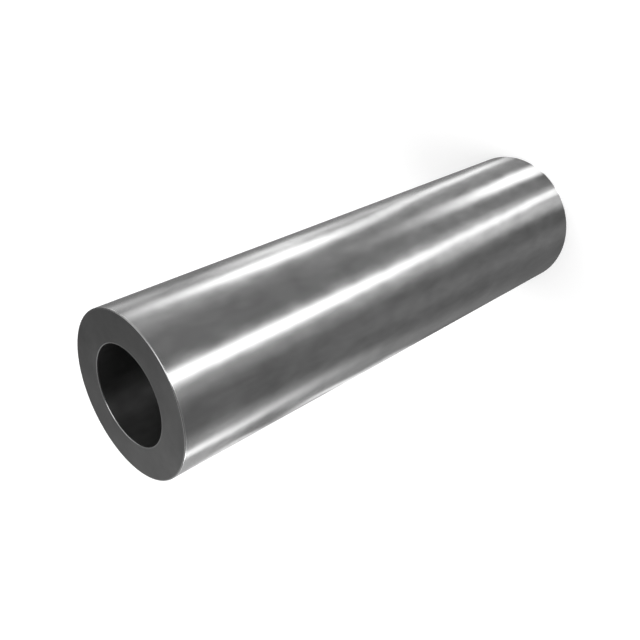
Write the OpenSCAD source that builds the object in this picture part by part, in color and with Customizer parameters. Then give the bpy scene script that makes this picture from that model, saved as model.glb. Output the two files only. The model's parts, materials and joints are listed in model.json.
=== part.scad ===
// Round spacer: a straight sleeve with one plain hole from end to end.
// It is cut square from thick-walled round stock, and the sharp corners at both ends,
// inside and outside, are only just broken, so that they neither cut nor raise a burr.
// A bolt or a rod passes through the bore, and the two end faces hold two parts apart.
// The lower end face is centred on the origin, and the bore runs up along +Z.
// All sizes are in millimetres.

/* [Bore] */
// Diameter of the plain through hole
bore_d = 9.525; // [3:0.025:30]
// Width of the 45 degree edge break at each mouth of the hole
bore_edge = 0.06; // [0.05:0.01:0.3]

/* [Sleeve] */
// Thickness of the wall between the hole and the outside
wall = 3.175; // [1:0.025:10]
// Distance that the spacer keeps, over its two end faces
length = 57.15; // [5:0.05:200]
// Width of the 45 degree edge break round the outside of each end
outer_edge = 0.08; // [0.05:0.01:0.3]

/* [Hidden] */
// Segments of a full turn
$fn = 128;
bore_r = bore_d / 2;
outer_r = bore_r + wall;

// The wall cut through on one side of the axis: a tall rectangle that stands bore_r
// away from the axis, with its four corners broken
module wall_section() {
    polygon([
        [bore_r, bore_edge],
        [bore_r + bore_edge, 0],
        [outer_r - outer_edge, 0],
        [outer_r, outer_edge],
        [outer_r, length - outer_edge],
        [outer_r - outer_edge, length],
        [bore_r + bore_edge, length],
        [bore_r, length - bore_edge]
    ]);
}

// The whole part: the wall section turned once round the axis
module spacer() {
    color("gray")
        rotate_extrude()
            wall_section();
}

spacer();
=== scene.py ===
# %% [markdown]
# # A plain round steel spacer
# This part is one straight sleeve of steel. A bolt passes through its bore, and its two flat
# ends keep the things on the bolt a set distance apart. It is sawn or parted off from thick
# tube, faced square at both ends and deburred, and nothing is added to it. So everything that
# makes it look real is in its section, its broken edges and what its surfaces reflect.
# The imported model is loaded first. It is the fixed frame that every later piece is made in.

# %% Load the fixed frame
import json
import math

import bpy
import numpy as np
from mathutils import Matrix, Vector


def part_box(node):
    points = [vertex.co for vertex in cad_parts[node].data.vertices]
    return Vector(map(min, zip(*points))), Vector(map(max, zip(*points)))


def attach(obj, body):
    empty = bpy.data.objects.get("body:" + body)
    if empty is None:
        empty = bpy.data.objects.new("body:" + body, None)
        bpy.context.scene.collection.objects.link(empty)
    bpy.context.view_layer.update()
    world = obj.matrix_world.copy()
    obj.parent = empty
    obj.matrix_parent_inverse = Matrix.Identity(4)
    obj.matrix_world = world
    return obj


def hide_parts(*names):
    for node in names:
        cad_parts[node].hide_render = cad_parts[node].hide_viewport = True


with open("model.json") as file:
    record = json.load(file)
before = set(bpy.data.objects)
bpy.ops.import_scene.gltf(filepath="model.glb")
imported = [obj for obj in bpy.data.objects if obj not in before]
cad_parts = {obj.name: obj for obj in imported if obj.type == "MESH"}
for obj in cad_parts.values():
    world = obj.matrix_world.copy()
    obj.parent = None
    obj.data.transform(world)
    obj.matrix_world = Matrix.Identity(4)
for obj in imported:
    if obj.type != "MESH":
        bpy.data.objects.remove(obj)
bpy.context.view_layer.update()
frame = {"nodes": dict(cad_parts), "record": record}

# Blender's unit is the metre
MM = 0.001
scene = bpy.context.scene

# %% [markdown]
# ## Sizes come from the frame
# A finished surface must lie where the solid lies, so no size of the spacer is typed again
# here. The outside radius and the length are read from the node's box, and the bore from the
# part's own record. The width of the broken edges is measured on the node's points: the end
# face is a ring, and it stops short of the outside by just that width.

# %% Measure the solid
TOLERANCE = 0.001 * MM

low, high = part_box("spacer")
length = high.z - low.z
outer_r = (high.x - low.x) / 2
bore_mount = next(m for m in frame["record"]["mounts"] if m["name"] == "bore")
bore_r = bore_mount["dims"]["r_mm"] * MM
solid = frame["nodes"]["spacer"].data
points = np.zeros(len(solid.vertices) * 3)
solid.vertices.foreach_get("co", points)
points = points.reshape(-1, 3)
on_end = points[:, 2] > high.z - TOLERANCE
end_radii = np.hypot(points[on_end, 0], points[on_end, 1])
outer_edge = outer_r - end_radii.max()
bore_edge = end_radii.min() - bore_r
print(f"outside {2 * outer_r / MM:.3f} mm, bore {2 * bore_r / MM:.3f} mm, length {length / MM:.3f} mm")
print(f"edge breaks: {outer_edge / MM:.3f} mm outside, {bore_edge / MM:.3f} mm at the bore")

# %% [markdown]
# ## Surfaces from numpy
# The spacer, and most of what stands round it, are turned shapes: a profile of (radius,
# height) points carried once round the Z axis. Blender's Screw or Spin could do that too.
# Here the points are worked out as whole arrays, because the same arrays then give the UV
# map and the masks for wear and light exactly.

# %% The turned surface


def turned_grid(profile, turns):
    """The points of a profile carried round Z, as an array (turns, points of the profile, 3).

    A profile point (r, z) at the angle a goes to (r cos a, r sin a, z).
    """
    angle = np.linspace(0, 2 * np.pi, turns, endpoint=False)[:, None]
    radius, height = profile[:, 0][None, :], profile[:, 1][None, :]
    return np.stack([radius * np.cos(angle), radius * np.sin(angle), height + 0 * angle], -1)


def turned_faces(turns, stations, closed):
    """Four-cornered faces between neighbouring points of a turned grid.

    Each face steps round first and along the profile second, so it faces away from the
    solid when the profile runs counter-clockwise. A closed profile joins its last point to
    its first.
    """
    i = np.arange(turns)[:, None]
    j = np.arange(stations if closed else stations - 1)[None, :]
    i_next, j_next = (i + 1) % turns, (j + 1) % stations
    near, far = i * stations, i_next * stations
    around = [near + j, far + j, far + j_next, near + j_next]
    return np.stack([np.broadcast_to(c, (turns, j.shape[1])) for c in around], -1).reshape(-1, 4)


def mesh_object(name, grid, faces):
    """An object at the origin with smooth faces, its place held by its points."""
    mesh = bpy.data.meshes.new(name)
    mesh.from_pydata(grid.reshape(-1, 3).tolist(), [], faces.tolist())
    mesh.polygons.foreach_set("use_smooth", np.ones(len(faces), bool))
    mesh.update()
    piece = bpy.data.objects.new(name, mesh)
    scene.collection.objects.link(piece)
    return piece


# %% [markdown]
# ## The section of the spacer
# A deburred corner is not a bevel but a tiny round, and it is the round that catches the
# hair-fine bright line along the rims. The profile goes once round the wall's section,
# counter-clockwise: out along the lower face, up the outside, in along the upper face and
# down the bore, with a quarter circle at each corner. A Bevel modifier could round the
# corners too, but here each round has its own exact radius, and the wear mask knows where it
# is. Points crowd together next to each round, so that its shading and its wear don't creep
# over the flat.

# %% Profile of the wall
TURNS = 288
ARC_STEPS = 8
CROWD = np.array([0.02, 0.06, 0.12]) * MM
RING_PITCH = 0.9 * MM


def quarter_round(corner, radius, start_angle):
    """Points of a quarter circle that replaces a square corner, counter-clockwise.

    The centre lies one radius in from both sides of the corner.
    """
    angle = np.radians(start_angle) + np.linspace(0, np.pi / 2, ARC_STEPS + 1)
    middle = np.radians(start_angle + 45)
    centre = np.array(corner) - radius * np.sqrt(2) * np.array([np.cos(middle), np.sin(middle)])
    return centre + radius * np.stack([np.cos(angle), np.sin(angle)], -1)


def straight_run(start, end):
    """Evenly spaced points between two ends, and a few that crowd close to each end."""
    reach = np.linalg.norm(end - start)
    pitches = int(reach / RING_PITCH)
    even = reach * np.arange(1, pitches) / pitches
    inner = np.concatenate([CROWD, even, reach - CROWD[::-1]])
    return start + (end - start) * (inner / reach)[:, None]


def wall_profile():
    """The closed section, and for each of its segments the number of the surface it is on.

    Surfaces: 0 lower face, 1 outside, 2 upper face, 3 bore. A round goes with the surface
    that comes after it.
    """
    rounds = [
        quarter_round((outer_r, 0), outer_edge, -90),
        quarter_round((outer_r, length), outer_edge, 0),
        quarter_round((bore_r, length), bore_edge, 90),
        quarter_round((bore_r, 0), bore_edge, 180),
    ]
    profile, surface = [], []
    for number in range(4):
        before, after = rounds[number - 1], rounds[number]
        run = straight_run(before[-1], after[0])
        profile += [run, after]
        surface += [np.full(len(run), number), np.full(len(after), (number + 1) % 4)]
    return np.concatenate(profile), np.concatenate(surface)


profile, surface = wall_profile()
print(f"section: {len(profile)} points, {TURNS} steps round")

# %% [markdown]
# ## The body as one closed surface
# The wall goes all the way round and the profile closes on itself, so the body has no
# seam, no cap and no pole. Its volume, added up face by face, shows that it is closed and
# faces outward: it must be positive and match pi times the wall's section carried round.

# %% Body of the spacer


def enclosed_volume(grid, faces):
    """The sum over all faces of a sixth of corner . (corner x corner), for two triangles each."""
    a, b, c, d = (grid.reshape(-1, 3)[faces[:, k]] for k in range(4))
    cone = np.einsum("ij,ij->i", a, np.cross(b, c)) + np.einsum("ij,ij->i", a, np.cross(c, d))
    return cone.sum() / 6


body_grid = turned_grid(profile, TURNS)
body_faces = turned_faces(TURNS, len(profile), closed=True)
body = mesh_object("spacer_body", body_grid, body_faces)
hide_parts("spacer")
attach(body, "root")
plain_volume = math.pi * (outer_r**2 - bore_r**2) * length
body_volume = enclosed_volume(body_grid, body_faces)
print(f"volume {body_volume / MM**3:.1f} mm3, plain tube {plain_volume / MM**3:.1f} mm3")
print(f"{2 * len(body_faces)} triangles")

# %% [markdown]
# ## UV map and wear mask
# Every tool that cut this part went round it, so its marks are rings: lines of constant
# distance along the profile, on the outside, the end faces and the bore alike. The UV map
# holds just that. U is the share of a turn, and V is the distance along the profile in
# millimetres. Seams and an unwrap would give such a map too, but the grid already knows both
# values exactly. A second value on each point is 1 on the rounded edges and fades out beside
# them, because that is where deburring and handling rub the metal bright.

# %% UV map and edge mask
WEAR_REACH = 0.04 * MM

steps = np.linalg.norm(np.roll(profile, -1, axis=0) - profile, axis=1)
station = np.concatenate([[0], np.cumsum(steps)])


def edge_wear(radius, height, edge):
    """1 up to the edge's width away from a sharp corner, and a bell curve beyond."""
    beyond = np.hypot(profile[:, 0] - radius, profile[:, 1] - height) - edge
    return np.exp(-((np.maximum(beyond, 0) / WEAR_REACH) ** 2))


corners = [(r, z, e) for r, e in ((outer_r, outer_edge), (bore_r, bore_edge)) for z in (0, length)]
edge_mask = np.max([edge_wear(*corner) for corner in corners], axis=0)


def face_corner_uv():
    """(U, V) of every face's four corners, with the last face of a turn running on to 1."""
    i = np.arange(TURNS)[:, None] + 0 * surface[None, :]
    j = np.arange(len(profile))[None, :] + 0 * i
    u = np.stack([i, i + 1, i + 1, i], -1) / TURNS
    v = np.stack([station[j], station[j], station[j + 1], station[j + 1]], -1) / MM
    return np.stack([u, v], -1)


uv_layer = body.data.uv_layers.new(name="turned")
uv_layer.data.foreach_set("uv", face_corner_uv().astype(np.float32).ravel())
mask = body.data.attributes.new("edge", "FLOAT", "POINT")
mask.data.foreach_set("value", np.tile(edge_mask, TURNS).astype(np.float32))
print(f"profile is {station[-1] / MM:.2f} mm round")

# %% [markdown]
# ## Effects that several finishes share
# The outside was turned, the ends were faced and the bore was drilled and reamed, all in one
# steel. Three effects go into all the finishes, so each is a node group. Tool marks are
# fine rings whose depth changes from one to the next. Cloudiness is the soft unevenness of
# rolled stock: broad patches make a long reflection waver, and the metal's own grain, which
# rolling draws out along the bar, mottles its tone. Edge wear turns any finish into bright
# smooth metal where the edge mask is 1. Painted images could hold all three, but nodes work
# them out at every point, so they stay sharp from close by.

# %% Node helpers


def new_group(name, inputs, outputs):
    """An empty shader node group with named float sockets and its two end nodes."""
    tree = bpy.data.node_groups.new(name, "ShaderNodeTree")
    for label, value in inputs.items():
        socket = tree.interface.new_socket(label, in_out="INPUT", socket_type="NodeSocketFloat")
        socket.default_value = value
    for label in outputs:
        tree.interface.new_socket(label, in_out="OUTPUT", socket_type="NodeSocketFloat")
    return tree, tree.nodes.new("NodeGroupInput"), tree.nodes.new("NodeGroupOutput")


def math_node(tree, operation, first, second=None):
    """A Math node on two sockets or plain numbers; gives its output."""
    node = tree.nodes.new("ShaderNodeMath")
    node.operation = operation
    for slot, value in enumerate((first, second)):
        if hasattr(value, "is_linked"):
            tree.links.new(value, node.inputs[slot])
        elif value is not None:
            node.inputs[slot].default_value = value
    return node.outputs[0]


def noise_node(tree, vector, scale, detail):
    """A 3D noise read at a vector; gives its value, which averages one half."""
    node = tree.nodes.new("ShaderNodeTexNoise")
    tree.links.new(vector, node.inputs["Vector"])
    node.inputs["Detail"].default_value = detail
    if hasattr(scale, "is_linked"):
        tree.links.new(scale, node.inputs["Scale"])
    else:
        node.inputs["Scale"].default_value = scale
    return node.outputs["Fac"]


# %% Tool marks
WANDERS_PER_M = 120.0
WANDER_MM = 0.1


def build_tool_marks():
    """Rings across the profile, the feed marks of the tool: noise read at V alone.

    A slow change over the part, worth WANDER_MM at most, keeps them from being perfect
    circles.
    """
    inputs = {"Rings per mm": 1.5, "Depth in mm": 0.001}
    tree, given, result = new_group("tool_marks", inputs, ["Height"])
    uv = tree.nodes.new("ShaderNodeUVMap")
    uv.uv_map = "turned"
    parts = tree.nodes.new("ShaderNodeSeparateXYZ")
    tree.links.new(uv.outputs["UV"], parts.inputs[0])
    place = tree.nodes.new("ShaderNodeTexCoord")
    wander = noise_node(tree, place.outputs["Object"], scale=WANDERS_PER_M, detail=1.0)
    off = math_node(tree, "MULTIPLY", wander, WANDER_MM)
    along = math_node(tree, "ADD", parts.outputs["Y"], off)
    line = tree.nodes.new("ShaderNodeCombineXYZ")
    tree.links.new(along, line.inputs["X"])
    rings = noise_node(tree, line.outputs[0], scale=given.outputs["Rings per mm"], detail=0.0)
    height = math_node(tree, "MULTIPLY", rings, given.outputs["Depth in mm"])
    tree.links.new(height, result.inputs["Height"])
    return tree


tool_marks = build_tool_marks()


# %% Cloudiness
GRAIN_LENGTH = 3.0


def build_cloudiness():
    """Patches some 4 mm across, and grains under 1 mm across and GRAIN_LENGTH times as long.

    Each is a noise less one half, so it is 0 on average. The grains are read at
    (x, y, z / GRAIN_LENGTH) and multiplied by their share.
    """
    inputs = {"Patches per m": 260.0, "Grains per m": 1300.0, "Grain share": 0.5}
    tree, given, result = new_group("cloudiness", inputs, ["Patch", "Grain"])
    place = tree.nodes.new("ShaderNodeTexCoord")
    patches_per_m, grains_per_m = given.outputs["Patches per m"], given.outputs["Grains per m"]
    patch = noise_node(tree, place.outputs["Object"], scale=patches_per_m, detail=2.0)
    tree.links.new(math_node(tree, "SUBTRACT", patch, 0.5), result.inputs["Patch"])
    drawn_out = tree.nodes.new("ShaderNodeVectorMath")
    drawn_out.operation = "MULTIPLY"
    drawn_out.inputs[1].default_value = (1, 1, 1 / GRAIN_LENGTH)
    tree.links.new(place.outputs["Object"], drawn_out.inputs[0])
    grain = noise_node(tree, drawn_out.outputs["Vector"], scale=grains_per_m, detail=1.0)
    off_middle = math_node(tree, "SUBTRACT", grain, 0.5)
    shared = math_node(tree, "MULTIPLY", off_middle, given.outputs["Grain share"])
    tree.links.new(shared, result.inputs["Grain"])
    return tree


cloudiness = build_cloudiness()


# %% Edge wear
def build_edge_wear():
    """Takes tone and roughness over to the worn ones: plain + (worn - plain) * edge mask."""
    inputs = {"Tone": 0.5, "Roughness": 0.3, "Worn tone": 0.8, "Worn roughness": 0.2}
    tree, given, result = new_group("edge_wear", inputs, ["Tone", "Roughness"])
    mask = tree.nodes.new("ShaderNodeAttribute")
    mask.attribute_name = "edge"
    for value, worn in (("Tone", "Worn tone"), ("Roughness", "Worn roughness")):
        change = math_node(tree, "SUBTRACT", given.outputs[worn], given.outputs[value])
        share = math_node(tree, "MULTIPLY", change, mask.outputs["Fac"])
        tree.links.new(math_node(tree, "ADD", given.outputs[value], share), result.inputs[value])
    return tree


edge_wear_group = build_edge_wear()
print("node groups:", [tree.name for tree in bpy.data.node_groups])

# %% [markdown]
# ## Three finishes of one steel
# Bare steel shows no colour of its own: it mirrors what is round it, a little darker, and
# the cut decides how blurred. So each finish is a fully metallic shader with a neutral tone.
# A picture of brushed metal laid over the shape would be quicker, but its highlights would
# be painted on and never move with the light.
# The outside is smooth and gives long sharp-edged streaks. The faced ends are duller, with
# rings too fine to see one by one. The bore is duller still, because a reamer leaves a rough
# wall, and its tone is made darker as painted shade for the deep hole that light has to bounce
# down. Its rings blur reflections more lengthwise than round about, so what shines in draws
# one soft stripe down the wall.

# %% Steel finishes
STEEL = 0.5
FACED_SHARE = 0.82
# painted shade: the bore's tone is lowered to this share of the steel's, to darken the deep hole
BORE_PAINTED_SHADE_SHARE = 0.35
FINE_MARK_MM = 0.0008
COARSE_MARK_MM = 0.002
QUARTER_TURN = 0.25
MOTTLE_TONE = 0.2
MOTTLE_BLUR = 0.08
PATCH_DEPTH_MM = 0.012
WORN_TONE = 0.8
WORN_ROUGHNESS = 0.22


def steel_finish(name, tone, roughness, mark_depth, grain, spread=0.0):
    """A metallic shader: tool marks and patches in its bump, patches and grain in tone and blur.

    The depth of the marks is in mm, and grain is how strongly the metal's grain shows. A
    spread above 0 blurs reflections more across the tool's rings than along them: the shader
    itself would blur more along them, so its direction is turned by a quarter.
    """
    material = bpy.data.materials.new(name)
    material.use_nodes = True
    tree = material.node_tree
    shader = tree.nodes["Principled BSDF"]
    shader.inputs["Metallic"].default_value = 1.0
    shader.inputs["Anisotropic"].default_value = spread
    shader.inputs["Anisotropic Rotation"].default_value = QUARTER_TURN

    marks = tree.nodes.new("ShaderNodeGroup")
    marks.node_tree = tool_marks
    marks.inputs["Depth in mm"].default_value = mark_depth
    cloud = tree.nodes.new("ShaderNodeGroup")
    cloud.node_tree = cloudiness
    cloud.inputs["Grain share"].default_value = grain
    patch = cloud.outputs["Patch"]
    mottle = math_node(tree, "ADD", patch, cloud.outputs["Grain"])
    waves = math_node(tree, "MULTIPLY", patch, PATCH_DEPTH_MM)
    bump = tree.nodes.new("ShaderNodeBump")
    bump.inputs["Strength"].default_value = 1.0
    bump.inputs["Distance"].default_value = 1 * MM
    tree.links.new(math_node(tree, "ADD", marks.outputs["Height"], waves), bump.inputs["Height"])
    tree.links.new(bump.outputs["Normal"], shader.inputs["Normal"])

    wear = tree.nodes.new("ShaderNodeGroup")
    wear.node_tree = edge_wear_group
    wear.inputs["Worn tone"].default_value = WORN_TONE
    wear.inputs["Worn roughness"].default_value = WORN_ROUGHNESS
    cast = math_node(tree, "ADD", math_node(tree, "MULTIPLY", mottle, MOTTLE_TONE), tone)
    tree.links.new(cast, wear.inputs["Tone"])
    blur = math_node(tree, "ADD", math_node(tree, "MULTIPLY", mottle, MOTTLE_BLUR), roughness)
    tree.links.new(blur, wear.inputs["Roughness"])
    tree.links.new(wear.outputs["Roughness"], shader.inputs["Roughness"])
    colour = tree.nodes.new("ShaderNodeCombineColor")
    for channel in ("Red", "Green", "Blue"):
        tree.links.new(wear.outputs["Tone"], colour.inputs[channel])
    tree.links.new(colour.outputs["Color"], shader.inputs["Base Color"])
    return material


outside = steel_finish(
    "steel_turned_outside", STEEL, roughness=0.24, mark_depth=FINE_MARK_MM, grain=0.6
)
faced = steel_finish(
    "steel_faced_end", FACED_SHARE * STEEL, roughness=0.32, mark_depth=FINE_MARK_MM, grain=0.3
)
# the bore's darker tone is painted shade for the deep hole; its blur, rings and spread are its reamed
# finish
reamed = steel_finish(
    "steel_reamed_bore_painted_shade", BORE_PAINTED_SHADE_SHARE * STEEL, roughness=0.5, mark_depth=COARSE_MARK_MM,
    grain=0.3, spread=0.7
)
for finish in (outside, faced, reamed):
    body.data.materials.append(finish)
finish_of_surface = np.array([1, 0, 1, 2])
material_index = np.tile(finish_of_surface[surface], TURNS).astype(np.int32)
body.data.polygons.foreach_set("material_index", material_index)
body.data.update()
print("faces per finish:", np.bincount(material_index).tolist())

# %% [markdown]
# ## Floor and white background
# The floor is plain pale card. Its own colour is lit by the lamps, so the spacer's shadow
# falls on it, and a little light of its own, which only the camera and reflections see,
# lifts the lit card to white. That light grows with the distance, where the lamps reach
# less. The world does the same beyond the floor's edge. A white world alone would be
# simpler, but nothing would catch the shadow then, and the spacer would seem to float.

# %% Floor and world
FLOOR_HALF = 3.0
FLOOR_DROP = 0.01 * MM
CARD_TONE = 0.8
NEAR = 0.3
FAR = 1.5
LIFT_NEAR = 0.35
LIFT_FAR = 0.55
AMBIENT = 0.6


def seen_directly(tree):
    """1 for rays of the camera, of a reflection or through glass, and 0 for all others."""
    path = tree.nodes.new("ShaderNodeLightPath")
    mirror, glass = path.outputs["Is Glossy Ray"], path.outputs["Is Transmission Ray"]
    mirror_or_glass = math_node(tree, "MAXIMUM", mirror, glass)
    return math_node(tree, "MAXIMUM", path.outputs["Is Camera Ray"], mirror_or_glass)


def pale_card():
    """A matt white card with light of its own for what sees it directly.

    That light rises evenly from LIFT_NEAR to LIFT_FAR between the distances NEAR and FAR.
    """
    material = bpy.data.materials.new("pale_card")
    material.use_nodes = True
    tree = material.node_tree
    shader = tree.nodes["Principled BSDF"]
    shader.inputs["Base Color"].default_value = (CARD_TONE, CARD_TONE, CARD_TONE, 1)
    shader.inputs["Roughness"].default_value = 1.0
    shader.inputs["Specular IOR Level"].default_value = 0.0
    shader.inputs["Emission Color"].default_value = (1, 1, 1, 1)
    place = tree.nodes.new("ShaderNodeTexCoord")
    distance = tree.nodes.new("ShaderNodeVectorMath")
    distance.operation = "LENGTH"
    tree.links.new(place.outputs["Object"], distance.inputs[0])
    share = tree.nodes.new("ShaderNodeMapRange")
    tree.links.new(distance.outputs["Value"], share.inputs["Value"])
    share.inputs["From Min"].default_value = NEAR
    share.inputs["From Max"].default_value = FAR
    share.inputs["To Min"].default_value = LIFT_NEAR
    share.inputs["To Max"].default_value = LIFT_FAR
    lift = math_node(tree, "MULTIPLY", seen_directly(tree), share.outputs["Result"])
    tree.links.new(lift, shader.inputs["Emission Strength"])
    return material


def white_world():
    """White where it is seen directly, and a plain soft level as light."""
    world = bpy.data.worlds.new("white_world")
    world.use_nodes = True
    tree = world.node_tree
    background = tree.nodes["Background"]
    background.inputs["Color"].default_value = (1, 1, 1, 1)
    more = math_node(tree, "MULTIPLY", seen_directly(tree), 1.0 - AMBIENT)
    tree.links.new(math_node(tree, "ADD", more, AMBIENT), background.inputs["Strength"])
    return world


corner = FLOOR_HALF * np.array([[-1, -1, 0], [1, -1, 0], [1, 1, 0], [-1, 1, 0]])
floor = mesh_object("floor", corner - [0, 0, FLOOR_DROP], np.array([[0, 1, 2, 3]]))
floor.data.materials.append(pale_card())
scene.world = white_world()
print(f"floor {2 * FLOOR_HALF:.0f} m wide")

# %% [markdown]
# ## Camera
# The view looks down on the standing spacer from its upper end, and the camera is rolled
# over so far that the spacer seems to lie: its upper end comes to the lower left, and its
# foot to the upper right. The lens and the distance were found from how much smaller the
# far end looks. The camera comes before the reflectors, because those are laid out for it.

# %% Camera
SENSOR_MM = 36.0
LENS_MM = 47.08
EYE_BACK = 66.43 * MM
EYE_UP = 87.44 * MM
LOOK_DOWN = 38.35
LOOK_LEFT = 1.03
ROLL = -115.5

camera_data = bpy.data.cameras.new("camera")
camera_data.sensor_width = SENSOR_MM
camera_data.lens = LENS_MM
camera_data.clip_start = 1 * MM
camera_data.clip_end = 20.0
camera = bpy.data.objects.new("camera", camera_data)
scene.collection.objects.link(camera)
turn = Matrix.Rotation(math.radians(LOOK_LEFT), 4, "Z")
tilt = Matrix.Rotation(math.radians(90 - LOOK_DOWN), 4, "X")
roll = Matrix.Rotation(math.radians(ROLL), 4, "Z")
camera.matrix_world = Matrix.Translation((0, -EYE_BACK, EYE_UP)) @ turn @ tilt @ roll
scene.camera = camera
scene.view_settings.view_transform = "Standard"
eye_gap = math.hypot(EYE_BACK, EYE_UP - length)
print(f"the camera is {eye_gap / MM:.1f} mm from the middle of the upper end")

# %% [markdown]
# ## Streaks of light, laid out by mirroring
# Polished round steel is photographed by choosing what it mirrors. A photographer lays grey
# card round it, with strips of white light between, and each strip becomes one long streak.
# The hard part is where to lay a strip, because the side of a round bar bends what it
# mirrors. Lamps could be shifted about until the streaks fall right, but the place can also
# be worked out. So each streak is written down as it should look on the spacer: at which
# angle, how far down from the upper end, how wide and how strong. The ray of the camera to
# that point is then mirrored in the side and followed down to the table, and the strip lies
# there.

# %% From the spacer's side to the table
eye = np.array([0, -EYE_BACK, EYE_UP])


def mirrored_place(angle, down):
    """The place on the table that the camera sees mirrored in one point of the side.

    The angle is in degrees from the front towards the left, and down is the distance from
    the upper end in mm. With n the outward direction there and v the camera's ray to the
    point, the mirrored ray is v - 2 (v . n) n, and it is followed to height 0.
    """
    turned = math.radians(angle)
    outward = np.array([-math.sin(turned), -math.cos(turned), 0])
    point = outer_r * outward + np.array([0, 0, length - down * MM])
    ray = point - eye
    ray = ray - 2 * (ray @ outward) * outward
    return (point - ray * point[2] / ray[2])[:2]


def mirrored_half_width(angle, down, half):
    """Half the distance on the table between the two sides of a streak."""
    side, other_side = mirrored_place(angle + half, down), mirrored_place(angle - half, down)
    return np.linalg.norm(side - other_side) / 2


front_middle = mirrored_place(0, length / MM / 2)
print("the front's middle mirrors the table at", (front_middle / MM).round(1), "mm")

# %% Streaks on the side
# Each streak is its softness and then its stations: angle, mm down from the upper end, half
# width in degrees, strength. A station above the upper end carries the strip on past it.
STREAKS = {
    "front": (
        0.5,
        (2.1, -18, 2.9, 4.0), (0, 16, 3, 4.0), (-3, 36, 2.4, 2.3), (-4.9, 52, 2.5, 1.9),
        (-4.9, 57, 3, 0.95),
    ),
    "front_tail": (
        0.8,
        (11, -18, 5, 0.2), (9, 16, 5, 0.25), (5.5, 28, 4.5, 0.4), (3, 41, 5, 0.8),
        (2.5, 51, 5.2, 0.7), (2.2, 57, 6.4, 0.62),
    ),
    "front_skirt": (
        0.8,
        (-7, 17, 2.8, 0.1), (-8, 33, 2.8, 0.3), (-8, 42, 3, 0.6), (-8, 51, 3, 0.5),
        (-8, 57, 3.2, 0.5),
    ),
    "right_foot": (
        0.6,
        (-28, 17, 4, 0.05), (-29, 29, 4, 0.25), (-29.5, 37, 4.4, 0.9), (-30, 45, 4.1, 2.2),
        (-30.7, 51, 4.6, 2.8), (-30, 57, 4.8, 1.7),
    ),
    "right": (
        0.6,
        (-48, 0, 3.4, 0.8), (-46.5, 7, 3.1, 2.2), (-46, 11, 3.2, 3.2), (-45.7, 16, 4.5, 3.0),
        (-45.6, 21, 4, 2.8), (-46.3, 27, 4, 1.35), (-53.5, 36, 3.5, 1.4), (-56, 42, 3.6, 1.8),
        (-58.6, 51, 2.8, 1.8), (-58.5, 57, 2.8, 0.4),
    ),
    "right_haze": (
        0.8,
        (-38, -6, 7, 0.25), (-38, 4, 7, 0.32), (-38, 11, 4, 0.05), (-37, 17, 5, 0.2),
        (-40, 23, 5, 0.05), (-43, 34, 6, 0.15), (-47, 44, 6, 0.2), (-48, 51, 6, 0.18),
        (-46, 57, 6, 0.1),
    ),
    "right_edge": (
        0.6,
        (-60, -6, 4.5, 0.7), (-59, 2, 4, 0.65), (-59, 6, 3.5, 0.2), (-58.5, 11, 4, 0.75),
        (-58, 17, 4, 1.5), (-59, 27, 4, 0.7), (-60, 36, 3, 0.6),
    ),
    "left": (
        0.6,
        (52, -18, 2.4, 3.4), (52, -4, 2.4, 3.4), (52.3, 5, 2.3, 2.1), (50.5, 10, 3.2, 0.85),
        (50, 17, 3.6, 0.28), (50, 24, 4, 0.03),
    ),
    "left_haze": (
        0.8,
        (46, -18, 9, 0.2), (46.5, 9, 6, 0.26), (58, 19, 9, 0.2), (62, 40, 10, 0.08),
    ),
    "left_rim": (
        0.6,
        (68, -14, 8, 0.6), (65, -1, 8, 0.45), (62, 5, 6, 0.1), (64, 12, 6, 0.1),
    ),
    "left_edge": (
        0.5,
        (80, -2, 3, 0.2), (71.8, 6.5, 1.5, 2.0), (75.5, 10, 2.4, 0.45), (69.6, 16, 2.6, 1.5),
        (74.5, 21, 2.7, 1.5), (73, 27, 2.6, 1.2), (76, 32, 2.5, 0.1),
    ),
    "left_low": (0.8, (27, 14, 5, 0.02), (29, 28, 6, 0.08), (29, 57, 6, 0.08)),
    "right_low": (0.8, (-14, 22, 4, 0.02), (-15, 40, 5, 0.1), (-15, 57, 5, 0.1)),
}
stations_laid = sum(len(streak) - 1 for streak in STREAKS.values())
print(f"{len(STREAKS)} streaks with {stations_laid} stations")

# %% From streaks to strips of light


def smooth_step(x):
    """0 below 0, 1 above 1, and 3x^2 - 2x^3 between."""
    x = np.clip(x, 0, 1)
    return x * x * (3 - 2 * x)


def strip_between(place, first, last, softness):
    """How bright the strip between two stations makes each place of the table.

    The nearest point of the line between the stations gives the strength and half width
    there. The light fades from full to none as the distance off the line goes from
    (1 - softness) to (1 + softness) half widths.
    """
    start, end = mirrored_place(*first[:2]), mirrored_place(*last[:2])
    line = end - start
    share = np.clip((place - start) @ line / (line @ line), 0, 1)
    off = np.linalg.norm(place - start - share[..., None] * line, axis=-1)
    half_start, half_end = mirrored_half_width(*first[:3]), mirrored_half_width(*last[:3])
    half = half_start + (half_end - half_start) * share
    strength = first[3] + (last[3] - first[3]) * share
    return strength * smooth_step((half * (1 + softness) - off) / (2 * softness * half))


def streak_glow(place, softness, *stations):
    """A whole streak: the brightest of its strips at each place."""
    strips = [strip_between(place, a, b, softness) for a, b in zip(stations, stations[1:])]
    return np.max(strips, axis=0)


# %% [markdown]
# ## The reflector table
# The table is a round card on the floor, grey with the bright strips in it. Only reflections
# see it, so the floor stays white to the camera and keeps the spacer's shadow. The grey is a
# little lighter on the right and a little darker behind on the left. Lamps could make the
# strips too, but a card whose every point holds its own brightness can bend a strip and let
# it fade, and it renders with less noise.

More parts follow.
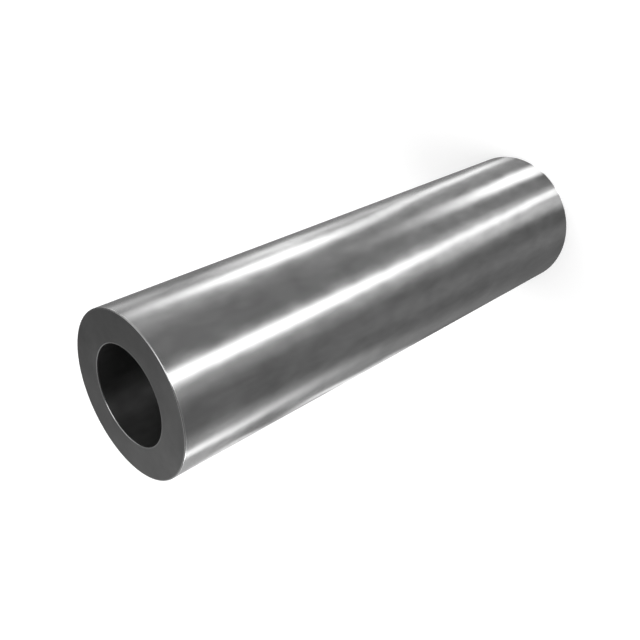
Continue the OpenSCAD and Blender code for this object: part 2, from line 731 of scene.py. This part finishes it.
# %% Tone of the table
TABLE_R = 590 * MM
TABLE_HOLE_R = bore_r / 2
TABLE_TURNS = 720
TABLE_RINGS = 210
TABLE_TONE = 0.19
RIGHT_LIGHTER = 0.08
RIGHT_SECTOR = (-180, -150, -45, -5)
BEHIND_DARKER = 0.06
BEHIND_SECTOR = (120, 160, 165, 180)


def leftward(x, y):
    """The direction of a place in degrees from the front towards the left."""
    return np.degrees(np.arctan2(-x, -y))


def sector(angle, start, full_from, full_to, end):
    """1 from full_from to full_to, falling smoothly to 0 at the start and at the end."""
    rise = smooth_step((angle - start) / (full_from - start))
    return rise * smooth_step((end - angle) / (end - full_to))


def table_glow(grid):
    """The card's tone, which changes with the direction, plus all the streaks' strips."""
    place = grid[..., :2]
    angle = leftward(place[..., 0], place[..., 1])
    lighter = RIGHT_LIGHTER * sector(angle, *RIGHT_SECTOR)
    darker = BEHIND_DARKER * sector(angle, *BEHIND_SECTOR)
    light = sum(streak_glow(place, *streak) for streak in STREAKS.values())
    return TABLE_TONE + lighter - darker + light


# %% Glowing card
def glowing_card():
    """Light as bright as the value held by each point."""
    material = bpy.data.materials.new("glowing_card")
    material.use_nodes = True
    tree = material.node_tree
    tree.nodes.remove(tree.nodes["Principled BSDF"])
    glow = tree.nodes.new("ShaderNodeAttribute")
    glow.attribute_name = "glow"
    light = tree.nodes.new("ShaderNodeEmission")
    tree.links.new(glow.outputs["Fac"], light.inputs["Strength"])
    tree.links.new(light.outputs[0], tree.nodes["Material Output"].inputs["Surface"])
    return material


card_light = glowing_card()


# %% A card that only reflections see
def reflector(name, profile, turns, glow_of):
    """A turned card that only reflections see, with its brightness worked out per point."""
    grid = turned_grid(profile, turns)
    card = mesh_object(name, grid, turned_faces(turns, len(profile), closed=False))
    glow = card.data.attributes.new("glow", "FLOAT", "POINT")
    glow.data.foreach_set("value", glow_of(grid).astype(np.float32).ravel())
    card.data.materials.append(card_light)
    for kind in ("camera", "diffuse", "transmission", "volume_scatter", "shadow"):
        setattr(card, f"visible_{kind}", False)
    return card


# %% Lay the table
table_radii = np.geomspace(TABLE_HOLE_R, TABLE_R, TABLE_RINGS)
table_profile = np.stack([table_radii, 0 * table_radii], -1)
table = reflector("reflector_table", table_profile, TABLE_TURNS, table_glow)
print(f"the table has {len(table.data.polygons)} faces, the smallest ones near the spacer")

# %% [markdown]
# ## The grey surround
# A wide tube of card with a lid stands round the table. The end face mirrors the part of it
# behind the spacer, low down: it is dark on the right and lighter on the left there, so the
# face shades over in the same way. High up in front, to the right, hangs a broad lit panel,
# and a dimmer one next to it reaches round to the back. A rounded edge mirrors a whole arc
# of what is round it, so it finds the panels wherever it faces them. They draw the hair-fine
# bright line along the rims, and shine into the mouth of the bore. A picture of a studio on
# the world could hold these lights too, but panels made from angles are easier to shift.

# %% Surround
SURROUND_R = 600 * MM
SURROUND_HIGH = 1500 * MM
SURROUND_TURNS = 180
WALL_RINGS = 60
LID_RINGS = 20
LID_HOLE_R = 0.01 * SURROUND_R
SURROUND_TONE = 0.08
BACK_LIGHTER = 0.2
BACK_SECTOR = (-18, 18, 50, 100)
FRONT_PANEL = 1.75
FRONT_SECTOR = (-66, -30, -2, 14)
SIDE_PANEL = 0.7
SIDE_SECTOR = (-150, -110, -80, -50)
PANEL_FOOT = 230 * MM
PANEL_FADE = 200 * MM


def surround_glow(grid):
    """Dark card, lighter behind on the left, with a front panel and a side panel.

    The panels' sectors are in degrees from the front towards the left, and BACK_SECTOR is in
    degrees from the back towards the left. The panels fade in upwards from their foot.
    """
    x, y, z = grid[..., 0], grid[..., 1], grid[..., 2]
    lighter = BACK_LIGHTER * sector(leftward(x, -y), *BACK_SECTOR)
    front = FRONT_PANEL * sector(leftward(x, y), *FRONT_SECTOR)
    side = SIDE_PANEL * sector(leftward(x, y), *SIDE_SECTOR)
    return SURROUND_TONE + lighter + smooth_step((z - PANEL_FOOT) / PANEL_FADE) * (front + side)


heights = np.linspace(0, SURROUND_HIGH, WALL_RINGS)
lid_radii = np.linspace(SURROUND_R, LID_HOLE_R, LID_RINGS)
wall = np.stack([np.full(WALL_RINGS, SURROUND_R), heights], -1)
lid = np.stack([lid_radii, np.full(LID_RINGS, SURROUND_HIGH)], -1)
surround_profile = np.concatenate([wall, lid[1:]])
surround = reflector("grey_surround", surround_profile, SURROUND_TURNS, surround_glow)
surround_faces = len(surround.data.polygons)
print(f"surround {2 * SURROUND_R:.1f} m across, {SURROUND_HIGH:.1f} m high, {surround_faces} faces")

# %% [markdown]
# ## Lamps
# Two broad soft lamps light the card from above at a plain level, at which the card shows
# about as pale as it is. They cast the spacer's soft shadow, and reflections don't see them.
# One sun would be simpler, but its shadow would be hard.

# %% Lamps


def soft_lamp(name, place, size, power):
    """A square area lamp that looks at the spacer's middle, in metres and watts."""
    data = bpy.data.lights.new(name, "AREA")
    data.size = size
    data.energy = power
    lamp = bpy.data.objects.new(name, data)
    aim = Vector((0, 0, length / 2)) - Vector(place)
    turned = aim.to_track_quat("-Z", "Y").to_matrix().to_4x4()
    lamp.matrix_world = Matrix.Translation(place) @ turned
    lamp.visible_camera = False
    lamp.visible_glossy = False
    scene.collection.objects.link(lamp)
    return lamp


key = soft_lamp("key_lamp", place=(-0.7, -0.5, 1.2), size=1.0, power=9.0)
fill = soft_lamp("fill_lamp", place=(0.8, 0.3, 1.3), size=1.2, power=7.0)
print("lamps:", key.name, key.data.energy, "W,", fill.name, fill.data.energy, "W")
